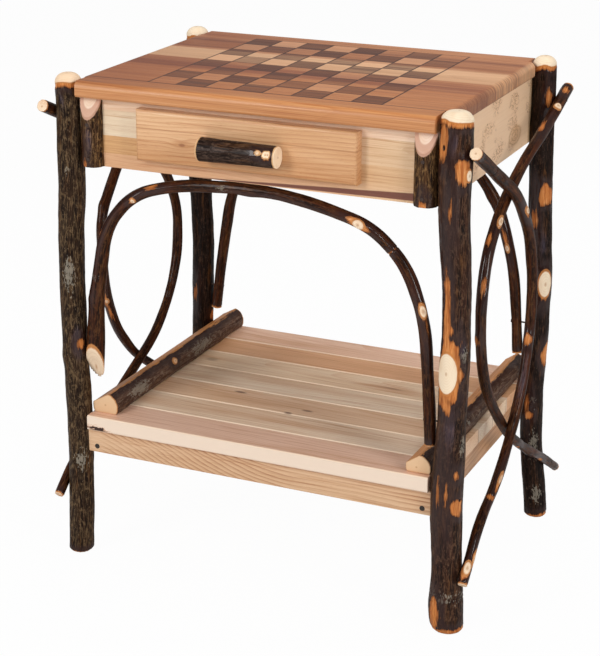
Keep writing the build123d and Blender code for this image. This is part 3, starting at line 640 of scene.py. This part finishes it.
# the left end is browner, the fourth stave paler, and the rounded front edge is tan with thin
# layered lines
left_brown = (1 - x.over(-270, 60)) * z.over(slab_face - 3, slab_face)
top = slab_wood.mix(left_brown * 0.55, top, paint(178, 134, 112), "MULTIPLY")
pale_from, pale_to = 0, 69
pale_board = y.over(pale_from - 1, pale_from + 1) * (1 - y.over(pale_to - 1, pale_to + 1))
top = slab_wood.mix(pale_board * (0.35 + slab_wood.line * 0.25), top, paint(244, 208, 168))
front_tan = 1 - y.over(slab_front + 2, slab_front + 6)
front_tan = front_tan * (1 - z.over(slab_face - 5, slab_face - 1))
top = slab_wood.mix(front_tan * 0.75, top, paint(196, 140, 94))
layer_line = slab_wood.mottle(slab_wood.at, (300, 40, 1.9), 2.0, 0.6, 63)
top = slab_wood.mix(front_tan * layer_line.over(0.52, 0.66) * 0.6, top, paint(160, 98, 60))
top = slab_wood.mix(front_tan * (1 - layer_line.over(0.34, 0.46)) * 0.4, top, paint(228, 180, 134))

# the slab's ends show end grain, darker where the heartwood comes through
slab_end = 264
end_share = slab_wood.maths("ABSOLUTE", x).over(slab_end - 7, slab_end)
end_ribs = slab_wood.mottle(slab_wood.at, (300, 6, 60), 2.0, 0.6, 51)
end_colour = slab_wood.mix(end_ribs.over(0.35, 0.6), paint(122, 82, 66), paint(206, 158, 118))
end_dark = y.over(-186, -160) * (1 - y.over(-60, 10))
end_colour = slab_wood.mix(end_dark * 0.7, end_colour, paint(116, 74, 62))
end_colour = slab_wood.mix(y.over(60, 130) * 0.6, end_colour, paint(224, 190, 156))
top = slab_wood.mix(end_share * 0.75, top, end_colour)

# every other square is stained, some of the others are pale, and lines are scored between them
odd = slab_wood.maths("MODULO", cell_x + cell_y, 2.0).over(0.5, 0.6)
stained, unstained = odd * on_board, (1 - odd) * on_board
top = slab_wood.mix(stained * (0.55 + chance * 0.45), top, paint(152, 134, 124), "MULTIPLY")
dark_streak = slab_wood.mottle(slab_wood.at, (200, 6, 20), 2.0, 0.6, 58)
top = slab_wood.mix(stained * dark_streak.over(0.52, 0.62) * 0.55, top, paint(86, 52, 38))
top = slab_wood.mix(unstained * chance.over(0.55, 0.9) * 0.45, top, paint(242, 190, 150))
off_column = slab_wood.maths("ABSOLUTE", column - slab_wood.maths("ROUND", column)) * square
off_row = slab_wood.maths("ABSOLUTE", row - slab_wood.maths("ROUND", row)) * square + 0.4
scored = 1 - slab_wood.maths("MINIMUM", off_column, off_row).over(0.9, 1.6)
scored = scored * to_edge.over(-1.5, -1.1) * on_face
top = slab_wood.mix(scored * 0.9, top, paint(54, 26, 16))
top = slab_wood.mix(0.5, top, paint(246, 224, 200), "MULTIPLY")
scored_depth = scored * 1.5
lay(slab_wood.lacquered(top, scored_depth), *(f"top_stave_{number}" for number in range(1, 7)))

# ---------------------------------------- apron trims
# Two half logs nailed over the apron's front corners, bark outwards, each cut to a slope at
# its top so that the slab's edge clears it.
half_bark = bark_finish(
    "half_log_bark", deep=paint(28, 16, 10), mid=paint(70, 46, 28), pale=paint(144, 108, 68),
    fleck=0.25, streaks=0.85, gloss=0.1, rim=paint(206, 160, 136), wood_tone=(240, 216, 196),
    rim_from=10.4)
# the purple-grey mark at 625 on the left trim is a painted reflection of the lamps
trims = (("apron_trim_left", 7.2, [("peel", 588, -128, 12, 3), ("painted_sheen", 625, -80, 26, 6)]),
         ("apron_trim_right", 8.4, [("peel", 583, -86, 14, 6.5)]))
slope_starts = 3 * MM
slope = Vector((0, -30, 16.2)).normalized()
for node, seed, marks in trims:
    low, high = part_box(node)
    middle_x, back_y = (low.x + high.x) / 2, high.y
    slope_point = (middle_x, back_y - slope_starts, high.z)
    bark_piece(node, node.replace("apron_trim", "half_log"), "frame", half_bark,
               key=height, side=(1, 0, 0), voxel=1.0, seed=seed, marks=marks, relief=(0.5, 0.4),
               ends=(False, False), planes=[("cut", slope_point, tuple(slope))],
               true_heart=(middle_x, back_y))

# ---------------------------------------- drawer
# A butted box with an overlay front, planed and lacquered, and for a handle a short length
# of branch with its bark on, screwed on from inside.
face_wood = Timber("drawer_face_board", "xzy", 44)
knot = face_wood.spot(-96, 633, 30, 14)
face_rings = face_wood.rings((548, -176), 5.6, 0.03, 7, knot.over(0, 1) * 5)
face_colour = face_wood.mix(face_wood.wide.over(600, 650), paint(202, 150, 102), paint(228, 186, 144))
face_colour = face_wood.mix(face_wood.broad.over(0.3, 0.7) * 0.5, face_colour, paint(212, 164, 118))
face_colour = face_wood.tone(face_colour, face_rings, paint(206, 154, 110), 0.42)
face_colour = face_wood.mix(knot.over(0.3, 0.9) * 0.4, face_colour, paint(186, 128, 80))
face_colour = face_wood.mix(knot.over(0.78, 0.92) * 0.6, face_colour, paint(132, 74, 48))
line_height = 650
off_line = face_wood.wide - line_height + (face_wood.broad - 0.5) * 8
dark_line = 1 - face_wood.maths("ABSOLUTE", off_line).over(0.3, 1.4)
face_colour = face_wood.mix(dark_line * 0.5, face_colour, paint(166, 110, 70))
fleck = face_wood.mottle(face_wood.at, (16, 1.6, 6), 2.0, 0.6, 77)
low_part = (1 - face_wood.wide.over(606, 622)) * face_wood.long.over(-60, 20)
face_colour = face_wood.mix(fleck.over(0.66, 0.72) * low_part * 0.7, face_colour, paint(136, 78, 52))
lay(face_wood.lacquered(face_colour), "drawer_front")


def rightward(at):
    return at[:, 0] / MM


pull_bark = bark_finish(
    "pull_bark", deep=paint(24, 13, 9), mid=paint(56, 38, 30), pale=paint(98, 78, 66),
    fleck=0.35, streaks=0.7, gloss=0.1, rim=paint(224, 176, 126), depth=0.55, wood_tone=(252, 226, 194))
pull_marks = [("cut", 38, -24, 4, 4.5), ("peel", 38, -22, 6, 6.5), ("hole", 38, -24, 3, 2),
              ("cut", 27, -28, 3, 2.4), ("peel", 27, -28, 4.5, 3.4)]
pull_low, pull_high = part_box("drawer_pull")
bark_piece("drawer_pull", "branch_pull", "drawer", pull_bark,
           key=rightward, side=(0, -1, 0), voxel=1.0, seed=10.3, marks=pull_marks, relief=(0.7, 0.3),
           ends=(False, False),
           planes=[("cut", tuple(pull_low), (-1, 0, 0)), ("cut", tuple(pull_high), (1, 0, 0))])

# ---------------------------------------- shelf
# Seven bevelled slats nailed down on a frame of rails, and along each side a log for a fence,
# its bark on, its foot planed flat and a strip shaved off along its top.
slat_wood = Timber("shelf_slats", "xyz", 60)
slat_front, slat_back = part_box("shelf_slat_1")[0].y / MM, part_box("shelf_slat_7")[1].y / MM
slat_count, slat_face = 7, 200
slat_pitch = (slat_back - slat_front) / slat_count
slat_index = slat_wood.maths("FLOOR", (slat_wood.wide - slat_front) / slat_pitch)
slat_chance = slat_wood.node("TexWhiteNoise", {"noise_dimensions": "1D"}, {"W": slat_index + 0.5})
figure_step = 700
slat_long = slat_wood.long + slat_index * figure_step
slat_wood.figure(slat_wood.gather(slat_long, slat_wood.wide, slat_wood.thick))
pith = slat_front + (slat_index + slat_chance * 1.6 - 0.3) * slat_pitch
slat_rings = slat_wood.rings((pith, 170), 4.0, 0.04, 6)
slat_tints = ((248, 212, 190), (254, 234, 210), (244, 212, 180), (254, 236, 212), (253, 230, 200),
              (236, 188, 146), (248, 212, 188))
slat_colour = paint(*slat_tints[0])
for before, tint in enumerate(slat_tints[1:]):
    slat_colour = slat_wood.mix(slat_index.over(before + 0.4, before + 0.6), slat_colour, paint(*tint))
slat_colour = slat_wood.mix(slat_wood.broad.over(0.5, 0.75) * 0.4, slat_colour, paint(222, 174, 132))
slat_colour = slat_wood.tone(slat_colour, slat_rings, paint(226, 188, 154), 0.35)

# each slat's bevels: the front one catches the light and the back one lies in the shade
into_slat = slat_wood.wide - slat_front - slat_index * slat_pitch
lit_bevel = (1 - into_slat.over(1.9, 2.9)) * slat_wood.thick.over(slat_face - 2, slat_face)
slat_colour = slat_wood.mix(lit_bevel * 0.8, slat_colour, paint(252, 232, 206))
dark_bevel = into_slat.over(slat_pitch - 2.6, slat_pitch - 1.6)
slat_colour = slat_wood.mix(dark_bevel * 0.75, slat_colour, paint(142, 94, 66))

# small dark specks, each by its place, its size and its strength, and a brown burr on the right
specks = ((-99, -35, 13, 4, 0.8), (-2, -79, 9, 4, 0.75), (20, -61, 12, 3.5, 0.75),
          (-200, 69, 16, 9, 0.4))
for long, wide, length, width, strength in specks:
    near = slat_wood.spot(long, wide, length, width) + (slat_wood.line - 0.5) * 0.9
    slat_colour = slat_wood.mix(near.over(0.0, 0.7) * strength, slat_colour, paint(88, 44, 26))
burr = slat_wood.spot(105, 68, 80, 16) + (slat_wood.line - 0.5) * 2.2
slat_colour = slat_wood.mix(burr.over(0.1, 0.7) * 0.6, slat_colour, paint(196, 134, 84))
slat_colour = slat_wood.mix(burr.over(0.7, 1.1) * 0.8, slat_colour, paint(112, 60, 34))

# the front slat's edge is pale, with a dark pocket of bark near its left end
front_edge = 1 - slat_wood.wide.over(slat_front + 0.4, slat_front + 1.2)
slat_colour = slat_wood.mix(front_edge * 0.8, slat_colour, paint(232, 211, 192))
pocket_long, pocket_thick, pocket_lean = -243, 203, 0.12
past_pocket = slat_wood.long - pocket_long
off_long = past_pocket / 20
off_thick = (slat_wood.thick - pocket_thick + past_pocket * pocket_lean) / 5
pocket = 1 - slat_wood.maths("SQRT", off_long * off_long + off_thick * off_thick)
torn = (slat_wood.mottle(slat_wood.at, (7, 5, 3), 3.0, 0.7, 9.0) - 0.5) * 2.6
pocket = (pocket + torn) * front_edge
slat_colour = slat_wood.mix(pocket.over(-0.1, 0.3) * 0.6, slat_colour, paint(190, 120, 70))
slat_colour = slat_wood.mix(pocket.over(0.25, 0.45), slat_colour, paint(52, 28, 18))
lay(slat_wood.lacquered(slat_colour), *(f"shelf_slat_{number + 1}" for number in range(slat_count)))

# the long rails' rings run out at a slant, and fade at the left end
rail_wood = Timber("shelf_rail_boards", "xzy", 71)
uneven = (rail_wood.mottle(rail_wood.at, (170, 12, 20), 2.0, 0.5, 88) - 0.5) * 5
run_out = rail_wood.long.over(-330, 60) * 120
rail_rings = rail_wood.rings((60, -190), 6.6, 0.0, 5, run_out + uneven)
ring_depth = rail_wood.long.over(-250, -228) * (0.35 + rail_wood.broad.over(0.3, 0.6) * 0.65)
rail_plain = rail_wood.tone(paint(222, 186, 150), rail_rings, paint(192, 138, 96), 0.1)
rail_lined = rail_wood.tone(paint(220, 184, 148), rail_rings, paint(184, 128, 84), 0.85)
rail_colour = rail_wood.mix(ring_depth, rail_plain, rail_lined)
lay(rail_wood.lacquered(rail_colour), "shelf_rail_front", "shelf_rail_back")
side_rail_wood = Timber("shelf_side_rails", "yzx", 75)
side_rail_rings = side_rail_wood.rings((150, 220), 4.6, 0.03, 6)
side_rail_colour = side_rail_wood.tone(paint(210, 164, 122), side_rail_rings, paint(194, 142, 100), 0.55)
lay(side_rail_wood.lacquered(side_rail_colour), "shelf_rail_left", "shelf_rail_right")


def backward(at):
    return at[:, 1] / MM


fence_bark = bark_finish(
    "fence_log_bark", deep=paint(66, 43, 34), mid=paint(104, 78, 64), pale=paint(144, 122, 104),
    fleck=0.6, streaks=0.7, gloss=0.06, rim=paint(206, 140, 84), wood_tone=(226, 188, 148), shaved=0.6)

# each fence by its seed, its heart's height over its foot, the shaved strip's distance from the
# heart and how far the strip tilts to the left, with its marks
left_marks = [("lichen_and_glint", -118, -12, 24, 9), ("cut", -8, -24, 5, 3.5), ("peel", -8, -24, 7, 5),
              ("lichen_and_glint", 80, -10, 34, 8)]
right_marks = [("lichen_and_glint", 60, -20, 10, 6), ("lichen_and_glint", -40, -15, 5, 4)]
fences = (("shelf_fence_left", 12.2, 10, 14.5, 29, left_marks),
          ("shelf_fence_right", 13.9, 8, 14.0, 35, right_marks))
for node, seed, rise, reach, tilt, marks in fences:
    low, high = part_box(node)
    across, up = -math.sin(math.radians(tilt)), math.cos(math.radians(tilt))
    shaved_at = ((low.x + high.x) / 2 + reach * MM * across, 0, low.z + (rise + reach * up) * MM)
    planes = [("peel", shaved_at, (across, 0, up)), ("cut", tuple(low), (0, -1, 0)),
              ("cut", tuple(high), (0, 1, 0))]
    bark_piece(node, node.replace("shelf_fence", "fence_log"), "frame", fence_bark,
               key=backward, side=(1, 0, 0), voxel=1.3, seed=seed, marks=marks, relief=(0.9, 0.4),
               ends=(False, False), planes=planes)

# ---------------------------------------- arches
# Two green hickory shoots steamed and bent to an arch, one at the front and one at the back,
# nailed to the posts and up into the apron.
twig_bark = bark_finish(
    "shoot_bark", deep=paint(27, 9, 4), mid=paint(78, 38, 19), pale=paint(114, 72, 38),
    fleck=0.15, streaks=0.40, gloss=0.3, rim=paint(198, 134, 80), depth=0.45, wood_tone=(240, 214, 184))
arch_middle_height = 0.255


def clockwise(at):
    """Degrees round the arch, 0 to the left, 90 at the crown and 180 to the right."""
    turn = np.degrees(np.arctan2(at[:, 2] - arch_middle_height, at[:, 0]))
    return 180 - np.where(turn < -90, turn + 360, turn)


# the purple-grey mark at 94 on the front arch is a painted reflection of the lamps
arch_marks = {
    "arch_front": [
        ("thick", 9, 0, 150, 4.2), ("knob", 11, -90, 70, 16), ("peel", 45, -70, 20, 3),
        ("peel", 64, -45, 9, 4), ("cut", 117, -5, 8, 5), ("peel", 117, -8, 15, 7),
        ("knob", 117, -8, 16, 9), ("cut", 141, -40, 8, 3.5), ("peel", 141, -40, 11, 4.5),
        ("knob", 141, -50, 12, 7), ("peel", 145, -50, 9, 1.5), ("cut", 58.4, 20, 3, 3),
        ("peel", 58.4, 20, 5, 4), ("knob", 58.4, 10, 14, 8), ("knob", 89, 60, 18, 8),
        ("lichen_and_glint", 82, 20, 6, 4), ("peel", 98, 70, 22, 2), ("painted_sheen", 94, 30, 12, 5),
        ("knob", 30, -60, 14, 8), ("peel", 30, -80, 9, 4), ("lichen_and_glint", 36, -10, 4, 4),
        ("ring", 126.4, 0, 1.2, 300), ("peel", 126.4, 0, 0.8, 40),
    ],
    "arch_back": [
        ("knob", 40, 0, 12, 7), ("peel", 60, 90, 10, 4), ("knob", 130, 90, 12, 7), ("peel", 141, 0, 15, 4),
        ("cut", 144, 0, 5, 2.5),
    ],
}

# the front arch's left foot is sawn off at a slant towards the front
foot_place, foot_normal, foot_reach = (-0.250, -0.188, 0.296), (0, -0.951, -0.309), 60
arch_planes = {"arch_front": [("cut", foot_place, foot_normal, foot_reach)], "arch_back": []}
for (node, marks), seed in zip(arch_marks.items(), (15.1, 16.6)):
    planes = arch_planes[node]
    bark_piece(node, node + "_shoot", "frame", twig_bark, key=clockwise, side=(0, -1, 0),
               voxel=1.2, seed=seed, marks=marks, relief=(0.6, 0.12), ends=(not planes, True),
               planes=planes)

# ---------------------------------------- side bows
# A crossed pair of bent shoots on each side, bark on and thinner towards the tip, each nailed
# to one post at its top and foot.
# the purple-grey mark at 291 on the right front bow is a painted reflection of the lamps
bow_marks = {
    "bow_right_front": [
        ("knob", 610, -40, 12, 8), ("ring", 628, 0, 1.0, 300), ("peel", 545, -6, 12, 5),
        ("cut", 547, -4, 7, 3), ("peel", 345, -90, 9, 6), ("knob", 345, -90, 12, 8),
        ("peel", 179, -35, 15, 4), ("cut", 182, -30, 8, 2), ("peel", 164, -70, 4, 8),
        ("peel", 92, -75, 13, 7), ("cut", 93, -70, 9, 4.5), ("peel", 105, -15, 11, 4),
        ("cut", 105, -10, 8, 2), ("knob", 92, -80, 14, 9), ("knob", 240, -120, 10, 7),
        ("painted_sheen", 291, -70, 40, 5),
    ],
    "bow_right_back": [
        ("cut", 640, -60, 6, 4), ("knob", 640, -60, 12, 7), ("peel", 655, -80, 8, 4),
        ("peel", 622, -100, 14, 4), ("peel", 520, -100, 10, 4), ("cut", 540, -40, 7, 3),
        ("peel", 400, -110, 7, 3), ("knob", 400, -110, 11, 7), ("peel", 470, -60, 12, 4),
        ("peel", 180, -70, 6, 4), ("peel", 120, -60, 8, 3), ("knob", 150, -60, 12, 7),
    ],
    "bow_left_front": [("knob", 300, -90, 12, 7), ("knob", 520, -40, 12, 7)],
    "bow_left_back": [
        ("cut", 338, -70, 3, 2), ("peel", 345, -95, 20, 4), ("peel", 315, -60, 14, 3),
        ("knob", 340, -80, 12, 7), ("knob", 480, -120, 10, 6),
    ],
}
for (node, marks), seed in zip(bow_marks.items(), (18.2, 19.7, 21.3, 22.8)):
    bark_piece(node, node + "_shoot", "frame", twig_bark, key=height, side=(1, 0, 0),
               voxel=1.2, seed=seed, marks=marks, relief=(0.6, 0.12))

# ---------------------------------------- fasteners
# Dark oiled steel screws, lags and nails hold most of the table, nearly all of them hidden,
# and browned nails hold the trims, the arches and the bows.


def smeared_metal(name, metallic, rough, dark, light):
    """Metal with a thin smear of oil or rust on it."""
    finish = Finish(name)
    finish.shader.inputs["Metallic"].default_value = metallic
    smear = finish.mottle(finish.gather(*finish.place()), (2, 2, 2), 3.0, 0.6)
    return finish.done(finish.mix(smear, dark, light), rough + smear * 0.3, smear, 0.05)


steel = smeared_metal("dark_oiled_steel", 0.9, 0.35, paint(46, 42, 40), paint(84, 78, 72))
lay(steel, "post_lags", "top_screws", "apron_screws", "rail_screws", "slat_nails", "fence_screws",
    "runner_screws", "drawer_screws", "pull_screws")
browned = smeared_metal("browned_nails", 0.0, 0.5, paint(30, 17, 11), paint(66, 42, 28))
lay(browned, "trim_nails", "arch_nails", "bow_nails")

# ---------------------------------------- studio
# A pale floor that takes the table's shadow, a large soft light to the upper left, weaker
# ones to the right and above, a thin one for the glints, and the camera at the front right.
bpy.ops.object.select_all(action="DESELECT")
bpy.ops.mesh.primitive_plane_add(size=60, location=(0, 0, 0))
floor = bpy.context.object
floor.name = "floor"
floor_finish = Finish("pale_floor")
floor_finish.shader.inputs["Base Color"].default_value = (0.8, 0.8, 0.8, 1)
floor_finish.shader.inputs["Roughness"].default_value = 0.9
seen = floor_finish.node("LightPath", {}, {}, "Is Camera Ray")
white = floor_finish.node("Emission", {}, {"Color": (1, 1, 1, 1), "Strength": 1.0})
whiteness = 0.97
lifted = floor_finish.node("MixShader", {}, {0: seen * whiteness, 2: white})
floor_finish.sheet.links.new(floor_finish.shader.outputs[0], lifted.socket.node.inputs[1])
floor_finish.sheet.links.new(lifted.socket, floor_finish.sheet.nodes["Material Output"].inputs[0])
floor.data.materials.append(floor_finish.material)

world = bpy.data.worlds.new("studio_air")
bpy.context.scene.world = world
world.use_nodes = True
air = world.node_tree
backdrop = air.nodes["Background"]
path = air.nodes.new("ShaderNodeLightPath")
level = air.nodes.new("ShaderNodeMapRange")
level.inputs["To Min"].default_value = 0.32
level.inputs["To Max"].default_value = 1.0
backdrop.inputs["Color"].default_value = (1, 1, 1, 1)
air.links.new(path.outputs["Is Camera Ray"], level.inputs["Value"])
air.links.new(level.outputs[0], backdrop.inputs["Strength"])


def softbox(name, at, aim, size, watts, mirrored=True):
    """A flat soft light at a place, turned towards a point, and mirrored in gloss or not."""
    light = bpy.data.lights.new(name, "AREA")
    light.shape = "RECTANGLE"
    light.size, light.size_y = size
    light.energy = watts
    lamp = bpy.data.objects.new(name, light)
    bpy.context.scene.collection.objects.link(lamp)
    lamp.location = at
    lamp.visible_glossy = mirrored
    lamp.rotation_euler = (Vector(aim) - Vector(at)).to_track_quat("-Z", "Y").to_euler()


softbox("key_light", (-1.4, -2.7, 1.75), (0, 0, 0.4), (0.9, 1.8), 49)
softbox("fill_light", (2.9, -1.5, 1.5), (0, 0, 0.4), (0.7, 1.8), 42)
softbox("top_light", (0.2, 0.4, 2.9), (0, 0, 0.6), (1.6, 1.6), 30, False)
softbox("glint_light", (1.2, -2.6, 2.3), (0.1, 0, 0.45), (0.12, 0.5), 5)

camera_turn, camera_tilt = 0.424895, 0.347389
camera_data = bpy.data.cameras.new("table_view")
camera = bpy.data.objects.new("table_view", camera_data)
bpy.context.scene.collection.objects.link(camera)
camera.location = (0.97614, -2.19989, 1.19603)
camera.rotation_euler = (math.pi / 2 - camera_tilt, 0, camera_turn)
camera_data.sensor_fit = "HORIZONTAL"
camera_data.sensor_width = 36
camera_data.lens = 105.966
bpy.context.scene.camera = camera
bpy.context.scene.view_settings.view_transform = "Standard"
